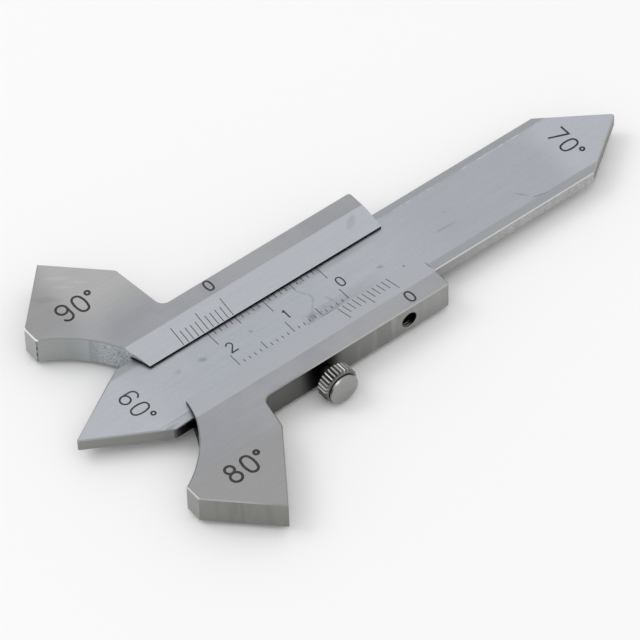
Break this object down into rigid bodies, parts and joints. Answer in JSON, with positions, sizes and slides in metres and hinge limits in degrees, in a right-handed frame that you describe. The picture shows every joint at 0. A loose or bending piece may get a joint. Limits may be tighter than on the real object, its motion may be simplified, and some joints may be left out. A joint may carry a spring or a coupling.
{
  "type": "weld gauge",
  "caption": "Flat steel weld gauge: a frame with angled measuring legs, and a pointed sliding beam with vernier scales that a knurled screw locks.",
  "frame": {"origin": "on the flat back of the frame, on the beam's centre line, about half way along the rails", "axes": "+X along the beam towards its 70 degree point, +Y across it towards the 90 degree leg, +Z out of the graduated face"},
  "size_m": [0.0999, 0.059, 0.0057],
  "materials": {
    "frame_steel": "fine ground satin stainless steel",
    "beam_steel": "satin stainless steel with black filled graduations",
    "screw_steel": "turned and knurled steel",
    "gib_brass": "plain rolled brass strip"
  },
  "bodies": {
    "frame": {"frame": "frame_steel", "gib_strip": "gib_brass", "set_screw": "screw_steel"},
    "beam": {"beam": "beam_steel"},
    "lock_screw": {"lock_screw": "screw_steel"}
  },
  "joints": [
    {"name": "beam_slide", "type": "slide", "parent": "frame", "child": "beam", "axis": [1, 0, 0], "range_m": [-0.0151, 0.0262]},
    {"name": "lock_screw_turn", "type": "hinge", "parent": "frame", "child": "lock_screw", "pos_m": [-0.0017, -0.0116, 0.00215], "axis": [0, -1, 0], "range_deg": [0, 360]}
  ]
}
